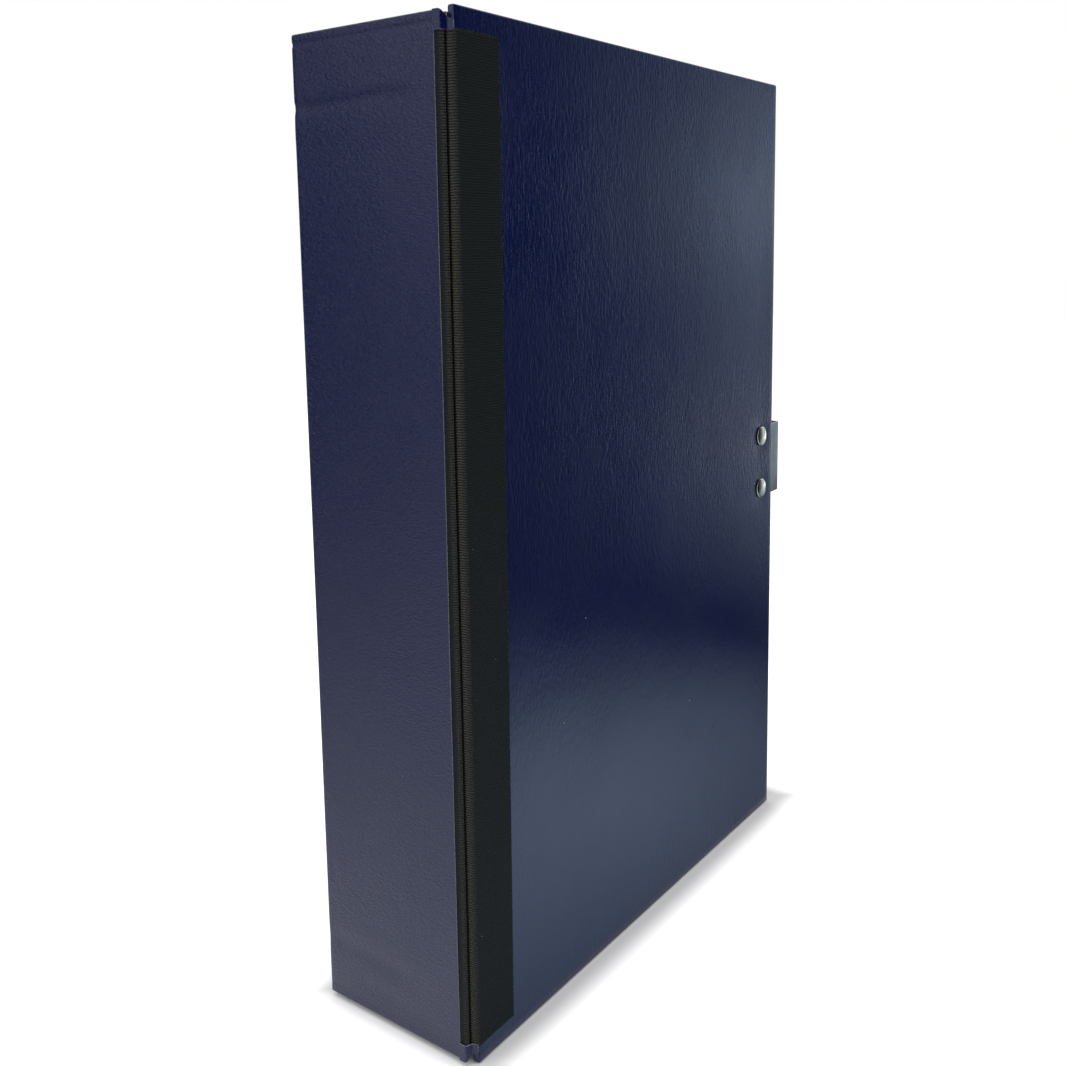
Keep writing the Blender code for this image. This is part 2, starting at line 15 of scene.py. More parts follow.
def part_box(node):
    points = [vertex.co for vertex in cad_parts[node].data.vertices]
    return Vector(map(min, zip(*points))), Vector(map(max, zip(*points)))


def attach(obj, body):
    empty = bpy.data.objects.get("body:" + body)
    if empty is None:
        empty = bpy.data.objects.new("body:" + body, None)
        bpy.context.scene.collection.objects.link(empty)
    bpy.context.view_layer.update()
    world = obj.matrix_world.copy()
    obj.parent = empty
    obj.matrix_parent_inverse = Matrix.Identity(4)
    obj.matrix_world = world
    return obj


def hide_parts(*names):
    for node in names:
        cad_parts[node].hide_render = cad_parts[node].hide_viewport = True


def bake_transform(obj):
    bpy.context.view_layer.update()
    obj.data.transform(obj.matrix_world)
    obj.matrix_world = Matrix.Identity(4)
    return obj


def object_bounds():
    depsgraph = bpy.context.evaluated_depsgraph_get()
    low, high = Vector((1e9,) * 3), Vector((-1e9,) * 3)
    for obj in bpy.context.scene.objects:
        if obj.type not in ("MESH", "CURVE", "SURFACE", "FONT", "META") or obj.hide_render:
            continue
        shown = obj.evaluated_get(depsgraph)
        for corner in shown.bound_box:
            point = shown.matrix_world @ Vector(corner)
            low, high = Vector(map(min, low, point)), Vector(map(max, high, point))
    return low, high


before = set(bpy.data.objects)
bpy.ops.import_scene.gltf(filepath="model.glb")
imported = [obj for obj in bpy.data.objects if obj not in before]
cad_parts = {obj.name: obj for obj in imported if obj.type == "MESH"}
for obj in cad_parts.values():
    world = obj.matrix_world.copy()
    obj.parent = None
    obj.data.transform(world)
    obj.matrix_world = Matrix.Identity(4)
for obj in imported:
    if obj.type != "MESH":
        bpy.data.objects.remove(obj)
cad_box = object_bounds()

MM = 0.001

# %% [markdown]
# A box maker measures from one corner. Here it is the corner where the spine, the lid's face and the
# lid's tail edge meet: X runs to the fore-edge, Y to the back, Z up to the head, all in millimetres.
# The helper below turns such a measure into a point of the frame.

# %% The maker's corner
spine_low, spine_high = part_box("spine_wrap")
lid_low, lid_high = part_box("lid_wrap")
back_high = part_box("back_wrap")[1]
corner = Vector((spine_low.x, lid_low.y, lid_low.z))


def point(x, y, z):
    return corner + Vector((x, y, z)) * MM


def measure(spot):
    """A point of the frame as millimetres from the maker's corner."""
    return (Vector(spot) - corner) / MM


HEIGHT = measure(lid_high).z
WIDTH = measure(lid_high).x
DEPTH = measure(spine_high).y
LID_EDGE = measure(lid_low).x
LID_THICK = measure(lid_high).y
TAIL = measure(spine_low).z
HEAD = measure(spine_high).z
RIM = measure(spine_low).y
TRAY_FORE = measure(back_high).x
MIDDLE = HEIGHT / 2
print(f"box {WIDTH:.1f} x {DEPTH:.1f} x {HEIGHT:.1f} mm, lid {LID_THICK:.1f} mm thick")

# %% [markdown]
# Covered board is never a sharp block. The covering rolls over each edge in a small radius and ends in
# a flap glued on the next face. One helper makes all such coverings: it lays a grid of faces over the
# wanted sides of a box, then pulls every point that lies near an edge onto the rolled edge. Modelling a
# block and using Bevel would also work, but a grid can afterwards be dented and warped as board is.


# %% Helper: a covering rolled over the edges of a board
def grid_lines(low, high, radius, spacing, extra=()):
    """Coordinates from low to high, close together at both rolled edges."""
    fine = [radius * share for share in (0, 0.3, 0.6, 1)]
    inner_low, inner_high = low + radius, high - radius
    count = max(1, round((inner_high - inner_low) / spacing))
    lines = [low + step for step in fine] + [high - step for step in fine]
    lines += [inner_low + (inner_high - inner_low) * i / count for i in range(count + 1)]
    lines += [value for value in extra if low < value < high]
    lines = sorted(lines)
    kept = [lines[0]]
    for value in lines[1:]:
        if value - kept[-1] > 0.05:
            kept.append(value)
    kept[-1] = high
    return kept


def shell_mesh(low, high, patches, radius, rolled, spacing, extra):
    """Faces over the named sides of a box, with the rolled sides' edges rounded."""
    lines = [grid_lines(low[a], high[a], radius, spacing, extra.get("xyz"[a], ())) for a in range(3)]
    inner_low = [low[a] + radius if f"-{'xyz'[a]}" in rolled else -1e6 for a in range(3)]
    inner_high = [high[a] - radius if f"+{'xyz'[a]}" in rolled else 1e6 for a in range(3)]
    form = bmesh.new()
    for side, limits in patches.items():
        axis = "xyz".index(side[1])
        across, up = (a for a in range(3) if a != axis)
        spans = []
        for a in (across, up):
            start, end = limits.get("xyz"[a], (low[a], high[a]))
            spans.append([v for v in lines[a] if start - 0.01 <= v <= end + 0.01])
        rows = []
        for u in spans[0]:
            row = []
            for v in spans[1]:
                spot = [0, 0, 0]
                spot[axis] = high[axis] if side[0] == "+" else low[axis]
                spot[across], spot[up] = u, v
                row.append(form.verts.new(spot))
            rows.append(row)
        outward = Vector([(1 if side[0] == "+" else -1) if a == axis else 0 for a in range(3)])
        for left, right in zip(rows, rows[1:]):
            for i in range(len(left) - 1):
                quad = [left[i], right[i], right[i + 1], left[i + 1]]
                turn = (quad[1].co - quad[0].co).cross(quad[3].co - quad[0].co)
                form.faces.new(quad if turn.dot(outward) > 0 else quad[::-1])
    bmesh.ops.remove_doubles(form, verts=form.verts, dist=0.01)
    for vert in form.verts:
        held = Vector([min(max(vert.co[a], inner_low[a]), inner_high[a]) for a in range(3)])
        away = vert.co - held
        if away.length > 1e-6:
            vert.co = held + away.normalized() * radius
    return form


def finish_piece(name, form, materials, thickness=0.0, side=-1, bumps=None, rim_material=0):
    """Warp, thicken and place a mesh that was built in millimetres."""
    if bumps:
        form.normal_update()
        moves = [(vert, vert.normal * bumps(vert.co)) for vert in form.verts]
        for vert, move in moves:
            vert.co += move
    mesh = bpy.data.meshes.new(name)
    form.to_mesh(mesh)
    form.free()
    piece = bpy.data.objects.new(name, mesh)
    bpy.context.scene.collection.objects.link(piece)
    for material in materials:
        mesh.materials.append(material)
    if thickness:
        sheet = piece.modifiers.new("thickness", "SOLIDIFY")
        sheet.thickness = thickness
        sheet.offset = side
        sheet.use_even_offset = True
        sheet.material_offset_rim = rim_material
        bake_modifiers(piece)
    for vert in piece.data.vertices:
        vert.co = point(*vert.co)
    piece.data.shade_smooth()
    piece.data.set_sharp_from_angle(angle=math.radians(40))
    return piece


def bake_modifiers(piece):
    """Keep what the modifiers make as the piece's own mesh."""
    seen = piece.evaluated_get(bpy.context.evaluated_depsgraph_get())
    mesh = bpy.data.meshes.new_from_object(seen)
    piece.modifiers.clear()
    piece.data = mesh


# %% [markdown]
# Grain, dust and wear appear on several materials, so each is a node group with its own inputs. A group
# only puts out values and colours, and the Principled shader stays in the material that uses it.


# %% Helper: node groups
def new_group(name, inputs, outputs):
    tree = bpy.data.node_groups.new(name, "ShaderNodeTree")
    for label, kind, value in inputs:
        socket = tree.interface.new_socket(label, in_out="INPUT", socket_type=f"NodeSocket{kind}")
        socket.default_value = value
    for label, kind in outputs:
        tree.interface.new_socket(label, in_out="OUTPUT", socket_type=f"NodeSocket{kind}")
    start = tree.nodes.new("NodeGroupInput")
    end = tree.nodes.new("NodeGroupOutput")
    return tree, start, end


def node(tree, kind, **settings):
    made = tree.nodes.new(f"ShaderNode{kind}")
    for label, value in settings.items():
        setattr(made, label, value)
    return made


def math_node(tree, operation, first, second=None, clamp=False):
    made = node(tree, "Math", operation=operation, use_clamp=clamp)
    for socket, value in zip(made.inputs, (first, second)):
        if value is None:
            continue
        if isinstance(value, (int, float)):
            socket.default_value = value
        else:
            tree.links.new(value, socket)
    return made.outputs[0]


def noise_node(tree, vector, scale, detail=2.0, roughness=0.5, distortion=0.0):
    made = node(tree, "TexNoise")
    made.inputs["Scale"].default_value = scale
    made.inputs["Detail"].default_value = detail
    made.inputs["Roughness"].default_value = roughness
    made.inputs["Distortion"].default_value = distortion
    tree.links.new(vector, made.inputs["Vector"])
    return made.outputs["Fac"]


def ramp(tree, value, low, high, to_low=0.0, to_high=1.0):
    made = node(tree, "MapRange", interpolation_type="SMOOTHSTEP")
    tree.links.new(value, made.inputs["Value"])
    for label, number in (("From Min", low), ("From Max", high), ("To Min", to_low), ("To Max", to_high)):
        made.inputs[label].default_value = number
    return made.outputs["Result"]


def mix_colour(tree, factor, first, second):
    made = node(tree, "Mix", data_type="RGBA")
    tree.links.new(factor, made.inputs["Factor"])
    for socket, colour in ((made.inputs[6], first), (made.inputs[7], second)):
        if hasattr(colour, "is_output"):
            tree.links.new(colour, socket)
        else:
            socket.default_value = (*colour, 1)
    return made.outputs[2]


# %% [markdown]
# **Leather grain.** Leatherette is embossed by a roller: shallow cells about a millimetre across, drawn
# out in the direction in which the sheet was pulled over the board. Stretching the coordinates before
# two layers of noise gives that direction. A finer layer breaks up the gloss.


# %% Node group: leather grain
def make_grain_group():
    inputs = [("Vector", "Vector", (0, 0, 0)), ("Stretch", "Vector", (1, 1, 1)), ("Depth", "Float", 1.0)]
    outputs = [("Height", "Float"), ("Tone", "Float"), ("Gloss", "Float")]
    tree, start, end = new_group("leather_grain", inputs, outputs)
    scaled = node(tree, "VectorMath", operation="MULTIPLY")
    tree.links.new(start.outputs["Vector"], scaled.inputs[0])
    tree.links.new(start.outputs["Stretch"], scaled.inputs[1])
    vector = scaled.outputs[0]
    cells = node(tree, "TexVoronoi", feature="SMOOTH_F1")
    cells.inputs["Scale"].default_value = 750
    cells.inputs["Smoothness"].default_value = 0.6
    tree.links.new(vector, cells.inputs["Vector"])
    waves = noise_node(tree, vector, 620, detail=3, roughness=0.6, distortion=0.8)
    fine = noise_node(tree, vector, 2400, detail=2)
    broad = noise_node(tree, start.outputs["Vector"], 16, detail=3)
    lumps = math_node(tree, "ADD", math_node(tree, "MULTIPLY", cells.outputs["Distance"], 0.55), waves)
    height = math_node(tree, "ADD", lumps, math_node(tree, "MULTIPLY", fine, 0.25))
    tree.links.new(math_node(tree, "MULTIPLY", height, start.outputs["Depth"]), end.inputs["Height"])
    tree.links.new(ramp(tree, waves, 0.3, 0.75), end.inputs["Tone"])
    cloudy = ramp(tree, broad, 0.3, 0.7, 0, 0.6)
    gloss = math_node(tree, "ADD", cloudy, math_node(tree, "MULTIPLY", fine, 0.4))
    tree.links.new(gloss, end.inputs["Gloss"])
    return tree


# %% [markdown]
# **Dust.** A dark box collects pale lint and specks. A Voronoi pattern puts one candidate speck in each
# cell, its own random value decides which cells keep theirs, and a threshold on distance gives the size.


# %% Node group: dust specks
def make_dust_group():
    inputs = [("Vector", "Vector", (0, 0, 0)), ("Density", "Float", 0.02)]
    tree, start, end = new_group("dust_specks", inputs, [("Mask", "Float")])
    cells = node(tree, "TexVoronoi", feature="F1")
    cells.inputs["Scale"].default_value = 260
    tree.links.new(start.outputs["Vector"], cells.inputs["Vector"])
    split = node(tree, "SeparateColor")
    tree.links.new(cells.outputs["Color"], split.inputs[0])
    keep = math_node(tree, "LESS_THAN", split.outputs[0], start.outputs["Density"])
    size = math_node(tree, "MULTIPLY", split.outputs[1], 0.07)
    near = math_node(tree, "LESS_THAN", cells.outputs["Distance"], size)
    tree.links.new(math_node(tree, "MULTIPLY", keep, near), end.inputs["Mask"])
    return tree


# %% [markdown]
# **Edge wear.** Corners and folds are rubbed first. The Bevel node gives a softened normal, and where it
# differs from the true one the surface bends, so that difference is a mask for worn edges. It is broken
# up by noise, because rubbing is never even.


# %% Node group: worn edges
def make_wear_group():
    inputs = [("Vector", "Vector", (0, 0, 0)), ("Radius", "Float", 0.0008), ("Amount", "Float", 0.5)]
    tree, start, end = new_group("worn_edges", inputs, [("Mask", "Float")])
    soft = node(tree, "Bevel", samples=4)
    tree.links.new(start.outputs["Radius"], soft.inputs["Radius"])
    true = node(tree, "NewGeometry")
    same = node(tree, "VectorMath", operation="DOT_PRODUCT")
    tree.links.new(soft.outputs["Normal"], same.inputs[0])
    tree.links.new(true.outputs["Normal"], same.inputs[1])
    bent = math_node(tree, "SUBTRACT", 1.0, same.outputs["Value"])
    patchy = noise_node(tree, start.outputs["Vector"], 180, detail=4, roughness=0.65)
    edge = math_node(tree, "MULTIPLY", ramp(tree, bent, 0.01, 0.12), ramp(tree, patchy, 0.42, 0.62))
    mask = math_node(tree, "MULTIPLY", edge, start.outputs["Amount"], clamp=True)
    tree.links.new(mask, end.inputs["Mask"])
    return tree


GRAIN = make_grain_group()
DUST = make_dust_group()
WEAR = make_wear_group()


def group_node(tree, group, vector, **values):
    made = node(tree, "Group")
    made.node_tree = group
    tree.links.new(vector, made.inputs["Vector"])
    for label, value in values.items():
        made.inputs[label].default_value = value
    return made


def new_material(name, metallic=0.0):
    material = bpy.data.materials.new(name)
    material.use_nodes = True
    tree = material.node_tree
    shader = tree.nodes["Principled BSDF"]
    shader.inputs["Metallic"].default_value = metallic
    place = node(tree, "TexCoord").outputs["Object"]
    return material, tree, shader, place


def add_bump(tree, shader, height, distance, strength=1.0):
    bump = node(tree, "Bump")
    bump.inputs["Distance"].default_value = distance
    bump.inputs["Strength"].default_value = strength
    tree.links.new(height, bump.inputs["Height"])
    tree.links.new(bump.outputs["Normal"], shader.inputs["Normal"])


# %% [markdown]
# **Navy leatherette.** The covering is a dark blue vinyl-coated cloth with a broad soft gloss. The blue is
# so deep that most of what is seen is reflected light, so roughness matters more than colour. The same
# recipe serves every face, with the grain drawn out along a different axis on each.


# %% Material: navy leatherette
NAVY_DEEP = (0.0003, 0.0028, 0.042)
NAVY_RAISED = (0.0010, 0.0052, 0.055)
RUBBED = (0.05, 0.06, 0.09)
LINT = (0.62, 0.64, 0.66)


def make_leatherette(name, stretch, depth):
    material, tree, shader, place = new_material(name)
    grain = group_node(tree, GRAIN, place, Stretch=stretch, Depth=depth)
    wear = group_node(tree, WEAR, place, Radius=0.0007, Amount=0.35)
    dust = group_node(tree, DUST, place, Density=0.012)
    colour = mix_colour(tree, grain.outputs["Tone"], NAVY_DEEP, NAVY_RAISED)
    colour = mix_colour(tree, wear.outputs["Mask"], colour, RUBBED)
    colour = mix_colour(tree, dust.outputs["Mask"], colour, LINT)
    tree.links.new(colour, shader.inputs["Base Color"])
    rough = ramp(tree, grain.outputs["Gloss"], 0.2, 0.9, 0.22, 0.30)
    rough = math_node(tree, "ADD", rough, dust.outputs["Mask"], clamp=True)
    tree.links.new(rough, shader.inputs["Roughness"])
    shader.inputs["IOR"].default_value = 1.5
    add_bump(tree, shader, grain.outputs["Height"], 0.00012)
    return material


LID_LEATHERETTE = make_leatherette("navy_leatherette_lid", (1.25, 1.25, 0.42), 0.85)
SPINE_LEATHERETTE = make_leatherette("navy_leatherette_spine", (1.9, 1.0, 2.3), 1.6)
WALL_LEATHERETTE = make_leatherette("navy_leatherette_walls", (0.55, 1.0, 1.0), 1.0)

# %% [markdown]
# **Cut edge.** Where leatherette is cut, its pale cotton backing shows as a thin light line. The
# coverings are thickened with Solidify, which gives their rims a material of their own.


# %% Material: raw cut edge
def make_cut_edge():
    material, tree, shader, place = new_material("cut_edge_backing")
    threads = noise_node(tree, place, 1500, detail=3)
    colour = mix_colour(tree, threads, (0.05, 0.06, 0.10), (0.46, 0.47, 0.50))
    tree.links.new(colour, shader.inputs["Base Color"])
    shader.inputs["Roughness"].default_value = 0.9
    add_bump(tree, shader, threads, 0.0001)
    return material


CUT_EDGE = make_cut_edge()

# %% [markdown]
# **Hinge tape.** The hinge is a ribbed cotton tape, nearly black with a green-grey cast. Its ribs run
# across the tape, one every 0.9 mm, and each is a row of small beads where the warp threads cross it. Two
# waves multiplied together give ribs and beads, and noise makes the threads uneven.

# %% Material: ribbed hinge cloth
RIB_PITCH = 0.9 * MM
WARP_PITCH = 0.62 * MM
# CLOTH_DARK and CLOTH_LIT are shaded and lit copies of the cloth's colour.
CLOTH_DARK = (0.0022, 0.0042, 0.0048)
CLOTH_LIT = (0.0095, 0.0140, 0.0148)
# Painted highlight colour for the tape where it runs over the tray's rim and up the lid's hinge edge.
CLOTH_RIM_HIGHLIGHT = (0.105, 0.094, 0.074)
CLOTH_FRAYED = (0.06, 0.066, 0.064)


def make_cloth(width, reach):
    """Cloth for a tape of this width, whose cut ends lie this far from the middle."""
    material, tree, shader, _ = new_material("ribbed_hinge_cloth")
    place = node(tree, "UVMap").outputs["UV"]
    split = node(tree, "SeparateXYZ")
    tree.links.new(place, split.inputs[0])
    wander = math_node(tree, "MULTIPLY", noise_node(tree, place, 170, detail=3), 0.00075)
    along = math_node(tree, "ADD", split.outputs["Y"], wander)
    ribs = math_node(tree, "SINE", math_node(tree, "MULTIPLY", along, 2 * math.pi / RIB_PITCH))
    warp_turns = math_node(tree, "MULTIPLY", split.outputs["X"], 2 * math.pi / WARP_PITCH)
    warp = math_node(tree, "SINE", warp_turns)
    threads = noise_node(tree, place, 1700, detail=2)
    beads = math_node(tree, "MULTIPLY", math_node(tree, "ADD", warp, 2.2), math_node(tree, "ADD", ribs, 1.0))
    height = math_node(tree, "ADD", math_node(tree, "MULTIPLY", beads, 0.16), threads)
    # Partly painted shading: the rib crests take the lit colour and the rib hollows the shaded one. Uneven
    # threads vary the tone as well.
    lit = ramp(tree, math_node(tree, "ADD", math_node(tree, "MULTIPLY", ribs, 0.22), threads), 0.2, 0.95)
    colour = mix_colour(tree, lit, CLOTH_DARK, CLOTH_LIT)
    # Painted highlight: from about 9 to 17 mm along the path, over the tray's rim and up the lid's hinge
    # edge, the tape is mixed towards a pale brown, most on the rib crests.
    begun = ramp(tree, split.outputs["X"], 8.6 * MM, 11.6 * MM)
    ended = ramp(tree, split.outputs["X"], 14.6 * MM, 17.5 * MM, 1.0, 0.0)
    rim_highlight = math_node(tree, "MULTIPLY", math_node(tree, "MULTIPLY", begun, ended), lit)
    colour = mix_colour(tree, rim_highlight, colour, CLOTH_RIM_HIGHLIGHT)
    # Painted shade: a near-black band along the tape where it dips into the joint between the tray's rim and
    # the lid.
    groove_painted_shade = math_node(
        tree,
        "MULTIPLY",
        ramp(tree, split.outputs["X"], 12.3 * MM, 12.7 * MM),
        ramp(tree, split.outputs["X"], 13.6 * MM, 14.1 * MM, 1.0, 0.0),
    )
    colour = mix_colour(tree, groove_painted_shade, colour, (0.0012, 0.0014, 0.0015))
    side = ramp(tree, split.outputs["X"], (width - 0.55) * MM, (width - 0.1) * MM)
    height_from_middle = math_node(tree, "SUBTRACT", split.outputs["Y"], MIDDLE * MM)
    height_from_middle = math_node(tree, "ABSOLUTE", height_from_middle)
    ends = ramp(tree, height_from_middle, (reach - 0.9) * MM, (reach - 0.3) * MM)
    loose = ramp(tree, noise_node(tree, place, 900, detail=3, roughness=0.7), 0.5, 0.72)
    frayed = math_node(tree, "MULTIPLY", math_node(tree, "MAXIMUM", side, ends), loose)
    colour = mix_colour(tree, frayed, colour, CLOTH_FRAYED)
    dust = group_node(tree, DUST, place, Density=0.035)
    colour = mix_colour(tree, dust.outputs["Mask"], colour, (0.20, 0.21, 0.22))
    tree.links.new(colour, shader.inputs["Base Color"])
    shader.inputs["Roughness"].default_value = 0.82
    shader.inputs["Specular IOR Level"].default_value = 0.25
    add_bump(tree, shader, height, 0.00022)
    return material


# %% [markdown]
# **Metals.** The rivets are nickel plated and polished, and the hasp and catch are plated sheet steel left
# duller, with fine marks from handling. Both are the same recipe with other numbers: a metallic base, and
# roughness that varies a little over the surface.


# %% Materials: nickel and plated steel
def make_metal(name, colour, tarnish, rough_low, rough_high, brushed, relief):
    material, tree, shader, place = new_material(name, metallic=1.0)
    drawn = node(tree, "VectorMath", operation="MULTIPLY")
    tree.links.new(place, drawn.inputs[0])
    drawn.inputs[1].default_value = (1, 1, brushed)
    marks = noise_node(tree, drawn.outputs[0], 900, detail=4, roughness=0.7)
    cloudy = noise_node(tree, place, 140, detail=3)
    wear = group_node(tree, WEAR, place, Radius=0.0005, Amount=0.5)
    tone = mix_colour(tree, ramp(tree, cloudy, 0.35, 0.7), colour, tarnish)
    tone = mix_colour(tree, wear.outputs["Mask"], tone, (0.78, 0.77, 0.74))
    tree.links.new(tone, shader.inputs["Base Color"])
    tree.links.new(ramp(tree, marks, 0.3, 0.7, rough_low, rough_high), shader.inputs["Roughness"])
    add_bump(tree, shader, marks, relief)
    return material


NICKEL = make_metal("polished_nickel", (0.92, 0.85, 0.70), (0.86, 0.79, 0.64), 0.08, 0.14, 1.0, 0.000002)
STEEL = make_metal("plated_sheet_steel", (0.42, 0.43, 0.41), (0.33, 0.35, 0.32), 0.30, 0.42, 0.08, 0.00001)

# %% [markdown]
# **Board and lining paper.** The boards hardly show, but when the lid is open their colour glows at the
# joints. The lining is an off-white acid-free paper with short fibres and a faint tooth.


# %% Materials: board and lining paper
def make_fibrous(name, light, dark, scale, bump):
    material, tree, shader, place = new_material(name)
    fibres = noise_node(tree, place, scale, detail=5, roughness=0.7, distortion=1.5)
    clouds = noise_node(tree, place, 30, detail=2)
    flecks = ramp(tree, noise_node(tree, place, scale * 1.7, detail=1), 0.70, 0.78)
    fibre_share = math_node(tree, "MULTIPLY", fibres, 0.6)
    mixed = math_node(tree, "ADD", fibre_share, math_node(tree, "MULTIPLY", clouds, 0.4))
    colour = mix_colour(tree, ramp(tree, mixed, 0.35, 0.65), dark, light)
    fleck_colour = tuple(share * 0.7 for share in dark)
    tree.links.new(mix_colour(tree, flecks, colour, fleck_colour), shader.inputs["Base Color"])
    tree.links.new(ramp(tree, fibres, 0.2, 0.8, 0.78, 0.95), shader.inputs["Roughness"])
    add_bump(tree, shader, fibres, bump)
    return material


LINING = make_fibrous("lining_paper", (0.72, 0.69, 0.62), (0.64, 0.61, 0.54), 700, 0.00004)
BOARD = make_fibrous("grey_board", (0.36, 0.32, 0.26), (0.25, 0.22, 0.17), 420, 0.00010)

for label, cad_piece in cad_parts.items():
    finish = LINING if label.endswith("lining") else BOARD if label.endswith("board") else STEEL
    if "rivet" in label or label == "push_button":
        finish = NICKEL
    cad_piece.data.materials.clear()
    cad_piece.data.materials.append(finish)

# %% [markdown]
# **The lid's covering.** One sheet of leatherette wraps the lid's board: face, four rolled edges, and
# turn-ins inside. Board is never quite flat, so the face is warped by a slow noise of a few tenths of a
# millimetre, and it dips round each rivet, where the rivet squeezes board and covering together.

# %% Lid covering
ROLL = 0.9
SKIN = 0.35
TURN_IN = 15.0
rivets = []
for label in ("hasp_rivet_upper", "hasp_rivet_lower"):
    low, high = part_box(label)
    rivets.append(measure((low + high) / 2))
rivet_reach = measure(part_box("hasp_rivet_upper")[1]).x - rivets[0].x


TAPE_LAP = measure(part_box("hinge_tape_lid")[1]).x


def fade(distance, reach):
    """1 at no distance, falling smoothly to nothing."""
    return math.exp(-((distance / reach) ** 2))


def board_warp(spot, size, seed):
    """A slow unevenness, in millimetres."""
    return size * noise.noise(Vector((spot.x / 70, spot.y / 70, spot.z / 90 + seed)))


def lid_bumps(spot):
    if spot.y > LID_THICK / 2:
        return 0.0
    move = board_warp(spot, 0.22, 3.1) + 0.05 * noise.noise(spot / 14)
    inside = min(spot.x - LID_EDGE, WIDTH - spot.x, spot.z, HEIGHT - spot.z)
    move *= min(1.0, max(0.0, inside / 12)) * (0.15 if spot.x < TAPE_LAP else 1.0)
    for rivet in rivets:
        away = math.hypot(spot.x - rivet.x, spot.z - rivet.z)
        move -= 0.42 * fade(away, 7.5)
    return move


lid_form = shell_mesh(
    Vector((LID_EDGE, 0, 0)),
    Vector((WIDTH, LID_THICK, HEIGHT)),
    {"-y": {}, "-x": {}, "+x": {}, "-z": {}, "+z": {}, "+y": {}},
    ROLL,
    {"-x", "+x", "-y", "+y", "-z", "+z"},
    3.0,
    {"x": (LID_EDGE + TURN_IN, WIDTH - TURN_IN), "z": (TURN_IN, HEIGHT - TURN_IN)},
)
window = [
    face
    for face in lid_form.faces
    if face.normal.y > 0.9 or all(vert.co.y > LID_THICK - 0.01 for vert in face.verts)
]
window = [
    face
    for face in window
    if all(
        LID_EDGE + TURN_IN - 0.1 <= vert.co.x <= WIDTH - TURN_IN + 0.1
        and TURN_IN - 0.1 <= vert.co.z <= HEIGHT - TURN_IN + 0.1
        for vert in face.verts
    )
]
bmesh.ops.delete(lid_form, geom=window, context="FACES")
lid_covering = finish_piece(
    "lid_covering", lid_form, [LID_LEATHERETTE, CUT_EDGE], SKIN, bumps=lid_bumps, rim_material=1
)
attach(lid_covering, "lid")
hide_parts("lid_wrap")
print("lid covering:", len(lid_covering.data.vertices), "points")

# %% [markdown]
# **The spine's covering.** The spine is the face most seen on a shelf. The covering carries marks of its
# making: the end of the head wall shows through as a faint line just below the top edge, and the board is
# lightly creased across near head and tail. Its front edge is cut, and the tape comes out from under it.

# %% Spine covering
FLAP = 12.0
slit_low = measure(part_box("hinge_tape_spine")[0]).z - 0.25
slit_high = measure(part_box("hinge_tape_spine")[1]).z + 0.25
SLIT_Y = RIM + 2.65
PROUD = 0.3


def crease(spot, height, tilt, reach, depth, start, end):
    """A shallow dent across the spine, tilted a little, and fading at both ends."""
    line = height + tilt * (spot.y - DEPTH / 2)
    share = min(1.0, max(0.0, (spot.y - start) / 14)) * min(1.0, max(0.0, (end - spot.y) / 14))
    return -depth * share * fade(spot.z - line, reach)


def spine_bumps(spot):
    if spot.x > 1.5:
        return 0.0
    move = board_warp(spot, 0.30, 7.7) + 0.06 * noise.noise(spot / 12)
    inside = min(HEAD - spot.z, spot.z - TAIL, DEPTH - spot.y, 8.0)
    move *= min(1.0, max(0.0, inside / 8))
    move += crease(spot, HEAD - 24.5, -0.025, 1.7, 0.80, 14, 80)
    move += crease(spot, HEAD - 33.0, -0.020, 5.0, -0.15, 8, 80)
    move += crease(spot, TAIL + 22.5, 0.03, 4.0, 0.28, 22, 80)
    move += crease(spot, TAIL + 9.0, 0.10, 3.0, 0.15, 10, 60)
    move += -0.28 * fade(spot.z - (HEAD - 3.4), 0.8)
    move += -0.10 * fade(spot.z - (TAIL + 3.4), 0.8)
    move += 0.12 * fade(spot.y - 33, 16) * fade(spot.z - 120, 110)
    return move


spine_form = shell_mesh(
    Vector((0, SLIT_Y, TAIL - PROUD)),
    Vector((FLAP, DEPTH, HEAD + PROUD)),
    {"-x": {}, "+y": {}, "-z": {}, "+z": {}},
    ROLL,
    {"-x", "+y", "-z", "+z"},
    1.6,
    {"z": tuple(HEAD - step * 0.5 for step in range(3, 12))},
)
spine_covering = finish_piece(
    "spine_covering", spine_form, [SPINE_LEATHERETTE, CUT_EDGE], SKIN, bumps=spine_bumps, rim_material=1
)
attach(spine_covering, "tray")
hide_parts("spine_wrap")
print("spine covering:", len(spine_covering.data.vertices), "points")

# %% [markdown]
# **Wall and back coverings.** Head and tail walls are covered over the outside, the rim and down inside.
# The fore-edge covering laps over them at the corners, and a separate sheet is pasted on the back last,
# a little inside the edges, as on a book.

# %% Wall coverings
WALL = 3.1
INSIDE_LAP = 20.0
INNER_SPINE = 3.9


def wall_bumps(spot):
    return board_warp(spot, 0.10, 1.3) + 0.03 * noise.noise(spot / 12)


def add_covering(name, low, high, patches, rolled, node_name, spacing=5.0, extra=None, bumps=wall_bumps):
    form = shell_mesh(Vector(low), Vector(high), patches, 0.7, rolled, spacing, extra or {})
    piece = finish_piece(name, form, [WALL_LEATHERETTE, CUT_EDGE], SKIN, bumps=bumps, rim_material=1)
    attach(piece, "tray")
    if node_name:
        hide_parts(node_name)
    return piece


